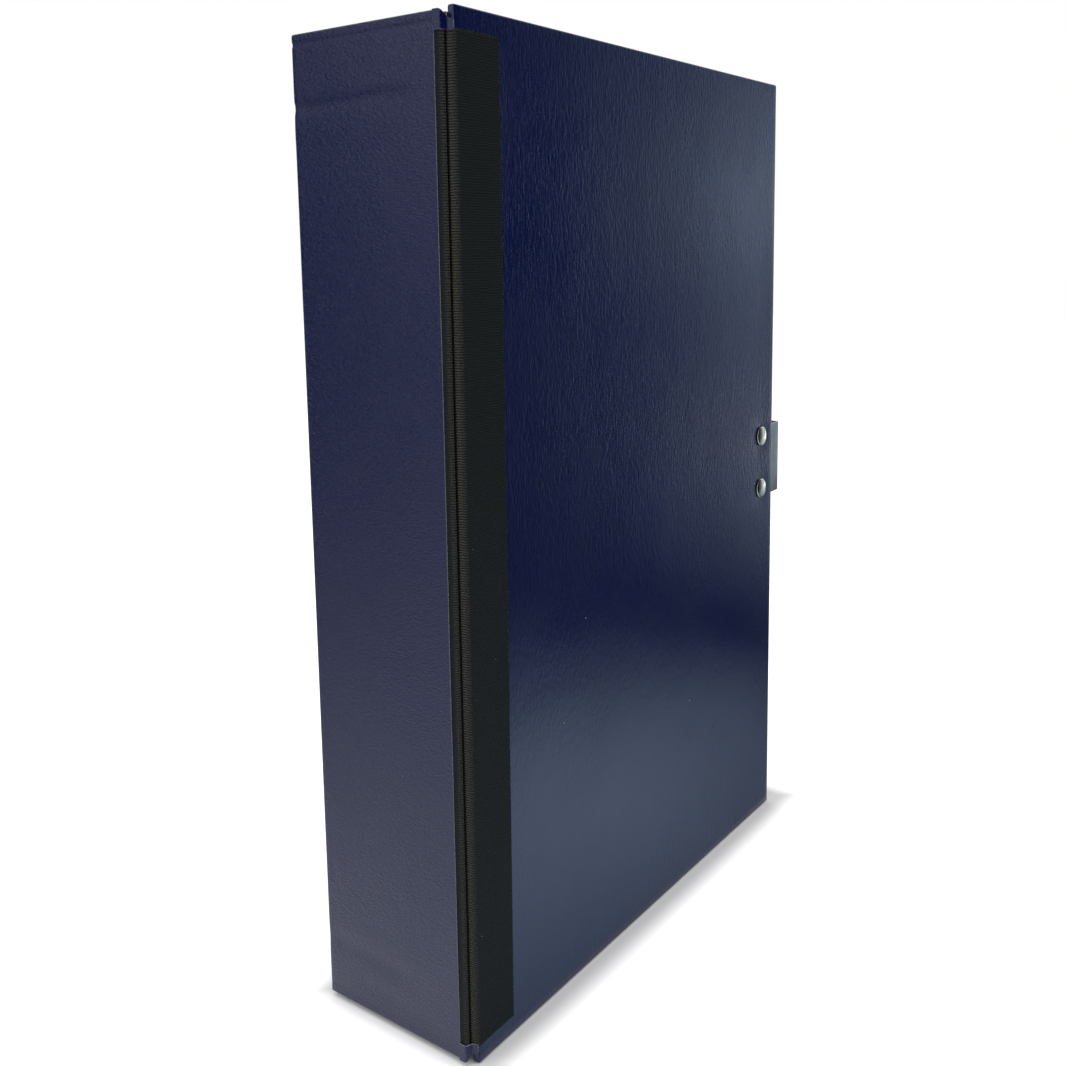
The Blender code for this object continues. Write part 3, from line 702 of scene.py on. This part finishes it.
inner_fore = TRAY_FORE - WALL - 0.2
lap = (RIM, RIM + INSIDE_LAP)
for label, z_low, z_high, outer, inner in (
    ("head", HEAD - WALL, HEAD, "+z", "-z"),
    ("tail", TAIL, TAIL + WALL, "-z", "+z"),
):
    add_covering(
        f"{label}_covering",
        (INNER_SPINE, RIM, z_low),
        (inner_fore, DEPTH, z_high),
        {outer: {}, "-y": {}, inner: {"y": lap}, "+y": {}},
        {outer, inner, "-y", "+y"},
        f"{label}_wrap",
        extra={"y": (RIM + INSIDE_LAP,)},
    )

add_covering(
    "fore_edge_covering",
    (TRAY_FORE - FLAP, RIM + 0.4, TAIL - PROUD),
    (TRAY_FORE, DEPTH, HEAD + PROUD),
    {"+x": {}, "-z": {}, "+z": {}, "+y": {}},
    {"+x", "-z", "+z", "+y"},
    "fore_edge_wrap",
)
add_covering(
    "fore_edge_rim_covering",
    (TRAY_FORE - WALL, RIM, TAIL),
    (TRAY_FORE - PROUD, DEPTH, HEAD),
    {"-y": {}, "-x": {"y": lap, "z": (TAIL + WALL, HEAD - WALL)}, "+x": {"y": (RIM, RIM + 8)}},
    {"-y", "-x", "+x"},
    None,
    extra={"y": (RIM + INSIDE_LAP, RIM + 8), "z": (TAIL + WALL, HEAD - WALL)},
    bumps=None,
)
INSET = 2.5
add_covering(
    "back_covering",
    (INSET, DEPTH - 1, TAIL + INSET),
    (TRAY_FORE - INSET, DEPTH + 0.2, HEAD - INSET),
    {"+y": {}},
    set(),
    "back_wrap",
    bumps=None,
)

# %% [markdown]
# ** The cloth hinge.** The tape is glued under the spine's covering, comes out of the slit, rounds the
# tray's front corner, dips into the joint, climbs the lid's hinge edge and lies on the lid's face. It is
# one sheet across the joint, so it is modelled in one piece.

# %% Helper: a sheet that follows a path across the hinge
TAPE = 0.42


def round_path(corners, radius, steps=5):
    """Points along straight runs whose corners are rounded with a quadratic bend."""
    points = [Vector(corners[0])]
    for before, here, after in zip(corners, corners[1:], corners[2:]):
        before, here, after = Vector(before), Vector(here), Vector(after)
        reach = min(radius, (before - here).length * 0.45, (after - here).length * 0.45)
        first = here + (before - here).normalized() * reach
        last = here + (after - here).normalized() * reach
        for step in range(steps + 1):
            share = step / steps
            points.append(first * (1 - share) ** 2 + here * 2 * share * (1 - share) + last * share**2)
    points.append(Vector(corners[-1]))
    return points


def spread_path(points, spacing):
    """The same path with more points on its long straight runs."""
    dense = [points[0]]
    for start, end in zip(points, points[1:]):
        count = max(1, math.ceil((end - start).length / spacing))
        dense += [start + (end - start) * i / count for i in range(1, count + 1)]
    return dense


def sheet_mesh(path, levels, z_of):
    """A grid along a path of (x, y) points and over heights, with a UV map in metres."""
    form = bmesh.new()
    layer = form.loops.layers.uv.new("metres")
    travelled = [0.0]
    for start, end in zip(path, path[1:]):
        travelled.append(travelled[-1] + (end - start).length)
    rows = []
    for index, spot in enumerate(path):
        rows.append([form.verts.new((spot.x, spot.y, z_of(index, level))) for level in levels])
    for i in range(len(rows) - 1):
        for j in range(len(levels) - 1):
            quad = (rows[i][j], rows[i + 1][j], rows[i + 1][j + 1], rows[i][j + 1])
            face = form.faces.new(quad)
            for loop, along in zip(face.loops, (i, i + 1, i + 1, i)):
                loop[layer].uv = (travelled[along] * MM, loop.vert.co.z * MM)
    return form, travelled[-1]


# %% [markdown]
# The tape's width is what its path measures from the glued edge under the spine to its free edge on the
# lid. It was cut a little narrower towards the tail, and its edges are slightly frayed.

# %% Hinge tape
tape_low = measure(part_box("hinge_tape_lid")[0]).z
tape_high = measure(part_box("hinge_tape_lid")[1]).z
tape_end = measure(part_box("hinge_tape_lid")[1]).x
GROOVE_X = 2.15
tape_corners = [
    (1.35, 13.0),
    (1.35, SLIT_Y + 0.8),
    (0.70, SLIT_Y - 0.4),
    (0.66, RIM - 0.05),
    (1.85, RIM - 0.10),
    (GROOVE_X, RIM + 0.95),
    (2.95, RIM + 0.75),
    (3.42, LID_THICK - 1.0),
    (LID_EDGE - 0.02, -0.02),
    (LID_EDGE + 1.0, -0.04),
    (tape_end, -0.03),
]
tape_path = spread_path(round_path(tape_corners, 0.45), 1.1)
rib_rows = round((tape_high - tape_low) / 1.5)
tape_levels = [tape_low + (tape_high - tape_low) * i / rib_rows for i in range(rib_rows + 1)]


def tape_z(index, level):
    """The two cut ends of the tape wander slightly, and the part on the spine reaches the slit's ends."""
    spot = tape_path[index]
    end_share = fade(min(level - tape_low, tape_high - level), 6)
    wander = 0.35 * noise.noise(Vector((spot.x / 4, spot.y / 4, level / 60)))
    on_spine = max(0.0, 1 - spot.x / 2.2)
    outward = 1 if level > MIDDLE else -1
    return level + end_share * (wander + outward * on_spine * (tape_low - slit_low))


tape_form, tape_width = sheet_mesh(tape_path, tape_levels, tape_z)
for vert in tape_form.verts:
    share = (vert.co.z - tape_low) / (tape_high - tape_low)
    share = min(1.0, max(0.0, share))
    reach = max(0.0, vert.co.x - 5) / (tape_end - 5)
    uneven = 0.12 * noise.noise(Vector((0, 0, vert.co.z / 9)))
    vert.co.x -= reach * (2.0 * (1 - share) ** 1.6 + uneven)
hinge_cloth = make_cloth(tape_width, (tape_high - tape_low) / 2)
hinge_tape = finish_piece("hinge_tape", tape_form, [hinge_cloth], TAPE, side=1)
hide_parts("hinge_tape_spine", "hinge_tape_fold", "hinge_tape_lid")
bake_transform(hinge_tape)
print(f"hinge tape: cut to {tape_width:.1f} x {tape_high - tape_low:.1f} mm")

# %% [markdown]
# **Joint strips.** Past each end of the tape the spine's covering itself bridges the joint. It was trimmed
# on a slant so that the lid can move, and the cut shows a pale line of backing.

# %% Joint strips at head and tail
STRIP_CUT = 3.4


def add_joint_strip(label, outer, inward, slit_end):
    corners = [
        (0.0, SLIT_Y),
        (0.0, RIM - 0.15),
        (1.5, RIM - 0.75),
        (2.5, LID_THICK - 0.9),
        (LID_EDGE - 0.05, -0.02),
    ]
    path = spread_path(round_path(corners, 0.7), 0.5)
    reach = path[-1].x

    def level_z(index, share):
        slant = STRIP_CUT * max(0.0, path[index].x / reach)
        edge = outer + inward * slant
        return edge + (slit_end + inward * 2.2 - edge) * share

    form, _ = sheet_mesh(path, [i / 6 for i in range(7)], level_z)
    if inward > 0:
        bmesh.ops.reverse_faces(form, faces=form.faces)
    finishes = [SPINE_LEATHERETTE, CUT_EDGE]
    strip = finish_piece(f"joint_covering_{label}", form, finishes, SKIN, rim_material=1)
    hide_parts(f"joint_strip_{label}")
    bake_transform(strip)
    return strip


add_joint_strip("head", HEAD + PROUD, -1, slit_high)
add_joint_strip("tail", TAIL - PROUD, 1, slit_low)

# %% [markdown]
# **Hasp.** The hasp is a strip of sheet steel let into the lid's board. It leaves the fore-edge, bends down
# over the catch, and ends in a stepped thumb lip. A path along its outer face is swept across its width,
# its free corners are rounded by Bevel, and a Boolean cuts the hole that the button stands in.

# %% Hasp
METAL = 0.7
hasp_low, hasp_high = (measure(spot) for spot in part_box("hasp_plate"))
button_low, button_high = (measure(spot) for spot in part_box("push_button"))
case_high = measure(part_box("catch_case")[1])
leg_face = case_high.x + 0.3 + METAL
button_y = (button_low.y + button_high.y) / 2
HOLE = 4.9
BEND = 2.4


def hasp_path():
    leaf = hasp_low.y
    lip = leg_face + 1.0
    lip_start = button_y + HOLE - METAL
    path = [Vector((hasp_low.x, leaf))]
    for step in range(17):
        angle = math.radians(-90 + 90 * step / 16)
        turn = Vector((math.cos(angle), math.sin(angle))) * BEND
        path.append(Vector((leg_face - BEND, leaf + BEND)) + turn)
    path += [Vector((leg_face, lip_start - 2.0)), Vector((lip, lip_start))]
    path += [Vector((lip, hasp_high.y - 2.2)), Vector((hasp_high.x - 0.1, hasp_high.y - 0.4))]
    return path


hasp_form, _ = sheet_mesh(hasp_path(), [hasp_low.z, hasp_high.z], lambda index, level: level)
hasp_corners = [
    vert
    for vert in hasp_form.verts
    if len(vert.link_edges) == 2
]
bmesh.ops.bevel(hasp_form, geom=hasp_corners, offset=4.0, segments=7, affect="VERTICES", profile=0.5)
hasp = finish_piece("hasp", hasp_form, [STEEL], METAL)
drill_form = bmesh.new()
drill_reach = HOLE * MM
bmesh.ops.create_cone(
    drill_form, cap_ends=True, segments=64, radius1=drill_reach, radius2=drill_reach, depth=0.02
)
drill_mesh = bpy.data.meshes.new("hasp_drill")
drill_form.to_mesh(drill_mesh)
drill_form.free()
drill = bpy.data.objects.new("hasp_drill", drill_mesh)
bpy.context.scene.collection.objects.link(drill)
drill.location = point(leg_face, button_y, MIDDLE)
drill.rotation_euler = (0, math.pi / 2, 0)
hole_cut = hasp.modifiers.new("button_hole", "BOOLEAN")
hole_cut.operation = "DIFFERENCE"
hole_cut.object = drill
softened = hasp.modifiers.new("burr_removed", "BEVEL")
softened.width = 0.12 * MM
softened.segments = 2
softened.limit_method = "ANGLE"
softened.angle_limit = math.radians(50)
bpy.context.view_layer.update()
bake_modifiers(hasp)
bpy.data.objects.remove(drill)
hasp.data.shade_smooth()
hasp.data.set_sharp_from_angle(angle=math.radians(35))
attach(hasp, "lid")
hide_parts("hasp_plate")

# %% [markdown]
# **Rivets.** Each rivet head is a low polished dome with a small rolled rim. A profile turned round its
# axis gives the whole rivet, with enough steps that its reflection runs smoothly.


# %% Helper: turned pieces
def turned_mesh(profile, steps=64):
    """Turns (radius, height) points round the Z axis."""
    form = bmesh.new()
    points = [form.verts.new((radius, 0, height)) for radius, height in profile]
    edges = [form.edges.new(pair) for pair in zip(points, points[1:])]
    bmesh.ops.spin(
        form, geom=points + edges, cent=(0, 0, 0), axis=(0, 0, 1), angle=2 * math.pi, steps=steps
    )
    bmesh.ops.remove_doubles(form, verts=form.verts, dist=1e-4)
    bmesh.ops.recalc_face_normals(form, faces=form.faces)
    return form


def dome(radius, height, steps):
    sphere = (radius**2 + height**2) / (2 * height)
    spread = math.asin(radius / sphere)
    angles = [spread * i / steps for i in range(steps + 1)]
    return [(sphere * math.sin(a), sphere * math.cos(a) - sphere + height) for a in angles]


def stand_up(form, centre, outward):
    """Moves a turned mesh so that its Z axis points outward from a place on the box."""
    turn = Vector(outward).to_track_quat("Z", "Y").to_matrix()
    for vert in form.verts:
        vert.co = turn @ vert.co + Vector(centre)


# %% [markdown]
# The two rivets hold the hasp: a head outside, a shank through the board, and a tail spread inside. The
# push button is turned as well, with a flange inside the case that keeps it from falling out.

# %% Rivets and push button
CROWN = 0.45
RIM_ROLL = 0.35
for label, rivet in zip(("upper", "lower"), rivets):
    crown_reach = rivet_reach - RIM_ROLL
    profile = [(r, z + RIM_ROLL) for r, z in dome(crown_reach, CROWN, 14)]
    for step in range(1, 8):
        angle = math.radians(70 - 160 * step / 7)
        profile.append((rivet_reach - RIM_ROLL + RIM_ROLL * math.cos(angle), RIM_ROLL * math.sin(angle)))
    profile += [(1.6, -0.3), (1.6, -4.6), (2.7, -4.7), (2.2, -5.2), (0.0, -5.25)]
    form = turned_mesh(profile)
    stand_up(form, (rivet.x, -0.3, rivet.z), (0, -1, 0))
    piece = finish_piece(f"rivet_{label}", form, [NICKEL])
    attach(piece, "lid")
    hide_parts(f"hasp_rivet_{label}")

button_reach = 4.5
profile = [(r, z + 0.35) for r, z in dome(button_reach - 0.3, 0.45, 10)]
profile += [(button_reach - 0.08, 0.27), (button_reach, 0.05), (button_reach, -1.0), (6.0, -1.0)]
profile += [(6.0, -2.2), (2.0, -2.2), (2.0, -4.9), (0.0, -4.9)]
button_form = turned_mesh(profile)
stand_up(button_form, (case_high.x, button_y, MIDDLE), (1, 0, 0))
button = finish_piece("button", button_form, [NICKEL])
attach(button, "button")
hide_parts("push_button")

# %% [markdown]
# ** Return spring.** A coil of spring wire stands between the tray's wall and the button.

# %% Return spring
spring_low, spring_high = (measure(spot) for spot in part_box("button_spring"))
WIRE = 0.3
COILS = 6
COIL_STEPS = 32
WIRE_STEPS = 10
coil_reach = (spring_high.y - spring_low.y) / 2 - WIRE - 0.1
coil_start = spring_low.x + WIRE
coil_length = spring_high.x - spring_low.x - 2 * WIRE
spring_form = bmesh.new()
rings = []
for step in range(COILS * COIL_STEPS + 1):
    share = step / (COILS * COIL_STEPS)
    angle = 2 * math.pi * COILS * share
    outward = Vector((0, math.cos(angle), math.sin(angle)))
    centre = Vector((coil_start + coil_length * share, button_y, MIDDLE)) + outward * coil_reach
    ring = []
    for turn_step in range(WIRE_STEPS):
        around = 2 * math.pi * turn_step / WIRE_STEPS
        offset = outward * WIRE * math.cos(around) + Vector((WIRE * math.sin(around), 0, 0))
        ring.append(spring_form.verts.new(centre + offset))
    rings.append(ring)
for before, after in zip(rings, rings[1:]):
    for i in range(WIRE_STEPS):
        j = (i + 1) % WIRE_STEPS
        spring_form.faces.new((before[i], before[j], after[j], after[i]))
spring_form.faces.new(rings[0][::-1])
spring_form.faces.new(rings[-1])
bmesh.ops.recalc_face_normals(spring_form, faces=spring_form.faces)
spring = finish_piece("return_spring", spring_form, [STEEL])
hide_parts("button_spring")
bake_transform(spring)
print(f"return spring: {COILS} coils over {coil_length:.1f} mm")

# %% [markdown]
# **Stage and light.** A pale floor, soft light from above and both sides, and a white world. Dark glossy
# covering shows its shape by what it mirrors, so a studio stands dark cards beside it. Here such cards
# are seen by reflections only: they neither show nor throw a shadow.


# %% Floor and world
def add_plane(name, centre, across, up, material):
    """A rectangle from its centre and its two half sides."""
    centre, across, up = Vector(centre), Vector(across), Vector(up)
    mesh = bpy.data.meshes.new(name)
    corners = [centre - across - up, centre + across - up, centre + across + up, centre - across + up]
    mesh.from_pydata(corners, [], [(0, 1, 2, 3)])
    layer = mesh.uv_layers.new(name="card")
    for loop, uv in zip(layer.data, ((0, 0), (1, 0), (1, 1), (0, 1))):
        loop.uv = uv
    mesh.materials.append(material)
    plane = bpy.data.objects.new(name, mesh)
    bpy.context.scene.collection.objects.link(plane)
    return plane


def make_floor_material():
    material = bpy.data.materials.new("pale_floor")
    material.use_nodes = True
    tree = material.node_tree
    shader = tree.nodes["Principled BSDF"]
    shader.inputs["Base Color"].default_value = (0.86, 0.86, 0.86, 1)
    shader.inputs["Roughness"].default_value = 0.9
    shader.inputs["Specular IOR Level"].default_value = 0.1
    light = node(tree, "LightPath")
    seen = math_node(tree, "MAXIMUM", light.outputs["Is Camera Ray"], light.outputs["Is Glossy Ray"])
    split = node(tree, "SeparateXYZ")
    tree.links.new(node(tree, "TexCoord").outputs["Object"], split.inputs[0])
    beyond_x = math_node(tree, "SUBTRACT", math_node(tree, "ABSOLUTE", split.outputs["X"]), WIDTH / 2 * MM)
    beyond_y = math_node(tree, "SUBTRACT", math_node(tree, "ABSOLUTE", split.outputs["Y"]), DEPTH / 2 * MM)
    # Painted shadow: the floor's glow fades out near and under the box, so a dark band stays round its
    # footprint.
    glow_beyond_painted_shadow = ramp(tree, math_node(tree, "MAXIMUM", beyond_x, beyond_y), 0.001, 0.015)
    glow = math_node(tree, "MULTIPLY", math_node(tree, "MULTIPLY", seen, glow_beyond_painted_shadow), 0.62)
    tree.links.new(glow, shader.inputs["Emission Strength"])
    shader.inputs["Emission Color"].default_value = (1, 1, 1, 1)
    return material


add_plane("floor", (0, 0, cad_box[0][2] - 0.0002), (4, 0, 0), (0, 4, 0), make_floor_material())

world = bpy.data.worlds.new("studio")
bpy.context.scene.world = world
world.use_nodes = True
tree = world.node_tree
background = tree.nodes["Background"]
light = node(tree, "LightPath")
seen = math_node(tree, "MAXIMUM", light.outputs["Is Camera Ray"], light.outputs["Is Glossy Ray"])
seen = math_node(tree, "MAXIMUM", seen, light.outputs["Is Transmission Ray"])
strength = math_node(tree, "ADD", math_node(tree, "MULTIPLY", seen, 0.45), 0.55)
tree.links.new(strength, background.inputs["Strength"])
background.inputs["Color"].default_value = (1, 1, 1, 1)


# %% [markdown]
# **Reflector cards.** Four cards stand or lie round the box: in front of the lid, on the table before it,
# beside the spine, and on the table beside it. Each tone is a plain rise or a soft bell, chosen so that
# the covering mirrors a deep dark middle with a bright band below it.

# %% Reflector cards
FRONT_TINT = (0.68, 0.85, 1.00)
SIDE_TINT = (0.93, 0.97, 1.00)
CARD_STEPS = 32


def rise(value, start, end):
    """0 up to the start, 1 from the end on."""
    return min(1.0, max(0.0, (value - start) / (end - start)))


def front_tone(x, z):
    """Dark towards the hinge, bright to the right, brightest at the height of the box's head."""
    bright = 0.8 + 0.8 * fade(z - 0.36, 0.09)
    return bright * rise(x, 0.48, 0.85) * (1 - 0.45 * rise(x, 0.85, 1.6))


def table_tone(x, y):
    """A bright strip before the hinge, dark to its right, and bright again at the far right."""
    strip = 1.3 * fade(y + 0.15, 0.12) * (1 - rise(x, 0.05, 0.35))
    return strip + rise(x, 0.35, 1.0)


def side_tone(y, z):
    """Bright towards the front, and low and high behind it, round a dark middle."""
    forward = 1.2 * (1 - rise(y, -0.1, 0.3)) * (0.6 + 0.4 * rise(y, -1.2, -0.1))
    patches = 0.25 + 1.2 * fade(z, 0.07) + 1.3 * rise(z, 0.26, 0.45)
    return forward + patches * fade(y - 0.3, 0.16)


def near_tone(x, y):
    """Bright beside the hinge and dark towards the back."""
    return 1.6 * (1 - rise(y, -0.2, 0.6))


def make_card_material():
    material = bpy.data.materials.new("reflector_card")
    material.use_nodes = True
    tree = material.node_tree
    shader = tree.nodes["Principled BSDF"]
    shader.inputs["Base Color"].default_value = (0, 0, 0, 1)
    shader.inputs["Roughness"].default_value = 1.0
    shader.inputs["Specular IOR Level"].default_value = 0.0
    tone = node(tree, "Attribute", attribute_name="tone")
    tree.links.new(tone.outputs["Color"], shader.inputs["Emission Color"])
    shader.inputs["Emission Strength"].default_value = 1.0
    return material


CARD = make_card_material()


def add_card(name, across, up, place, tone_at, tint):
    """A card that only reflections see, with its tone worked out at each point of a grid."""
    shares = [i / CARD_STEPS for i in range(CARD_STEPS + 1)]
    columns = [across[0] + (across[1] - across[0]) * share for share in shares]
    rows = [up[0] + (up[1] - up[0]) * share for share in shares]
    grid = [(u, v) for v in rows for u in columns]
    count = len(columns)
    quads = [(i, i + 1, i + 1 + count, i + count) for i in range(len(grid) - count) if (i + 1) % count]
    mesh = bpy.data.meshes.new(name)
    mesh.from_pydata([place(u, v) for u, v in grid], [], quads)
    shades = mesh.color_attributes.new("tone", "FLOAT_COLOR", "POINT")
    for shade, (u, v) in zip(shades.data, grid):
        shade.color = (*(tone_at(u, v) * share for share in tint), 1)
    mesh.materials.append(CARD)
    card = bpy.data.objects.new(name, mesh)
    bpy.context.scene.collection.objects.link(card)
    card.visible_camera = False
    card.visible_diffuse = False
    card.visible_shadow = False
    card.visible_transmission = False


table = cad_box[0][2] + 0.001
add_card("front_card", (-1.5, 3.5), (0, 1.6), lambda u, v: (u, -0.36, v + table), front_tone, FRONT_TINT)
add_card("table_card", (-0.30, 1.0), (-0.36, -0.037), lambda u, v: (u, v, table), table_tone, FRONT_TINT)
add_card("side_card", (-1.2, 1.6), (0, 1.4), lambda u, v: (-0.50, u, v + table), side_tone, SIDE_TINT)
add_card("near_card", (-0.50, -0.137), (-0.2, 0.6), lambda u, v: (u, v, table), near_tone, SIDE_TINT)


# %% [markdown]
# **Lamps.** Three soft lamps give the shading that does not depend on the view. They are left out of
# reflections, so that the cards alone decide what the covering mirrors.

# %% Soft lamps
def add_softbox(name, place, aim, size, watts):
    lamp = bpy.data.lights.new(name, "AREA")
    lamp.shape = "RECTANGLE"
    lamp.size, lamp.size_y = size
    lamp.energy = watts
    box = bpy.data.objects.new(name, lamp)
    box.location = place
    box.rotation_euler = (Vector(aim) - Vector(place)).to_track_quat("-Z", "Y").to_euler()
    box.visible_glossy = False
    bpy.context.scene.collection.objects.link(box)
    return box


add_softbox("overhead_softbox", (-0.2, -0.1, 1.7), (0, 0, 0.1), (1.6, 1.6), 14)
add_softbox("left_softbox", (-1.5, 0.5, 0.7), (0, 0, 0.18), (1.0, 1.2), 3)
add_softbox("front_softbox", (0.9, -1.6, 0.9), (0, 0, 0.18), (1.0, 1.0), 5)

# %% [markdown]
# **Camera.** It stands a little in front of the hinge corner and looks slightly down along the box, with
# the lens shifted down, so that upright edges stay nearly parallel.

# %% Camera
camera_data = bpy.data.cameras.new("camera")
camera_data.lens = 38.097
camera_data.sensor_width = 36
camera_data.shift_x = -0.01558
camera_data.shift_y = -0.12118
camera_data.clip_start = 0.01
camera = bpy.data.objects.new("camera", camera_data)
bpy.context.scene.collection.objects.link(camera)
camera.location = point(-280.2, -242.7, 291.8)
right = Vector((0.58801, -0.80874, -0.01348))
upward = Vector((0.11722, 0.06871, 0.99073))
turn = Matrix((right, upward, right.cross(upward))).transposed()
camera.matrix_world = Matrix.Translation(camera.location) @ turn.to_4x4()
bpy.context.scene.camera = camera

view = bpy.context.scene.view_settings
view.view_transform = "Standard"
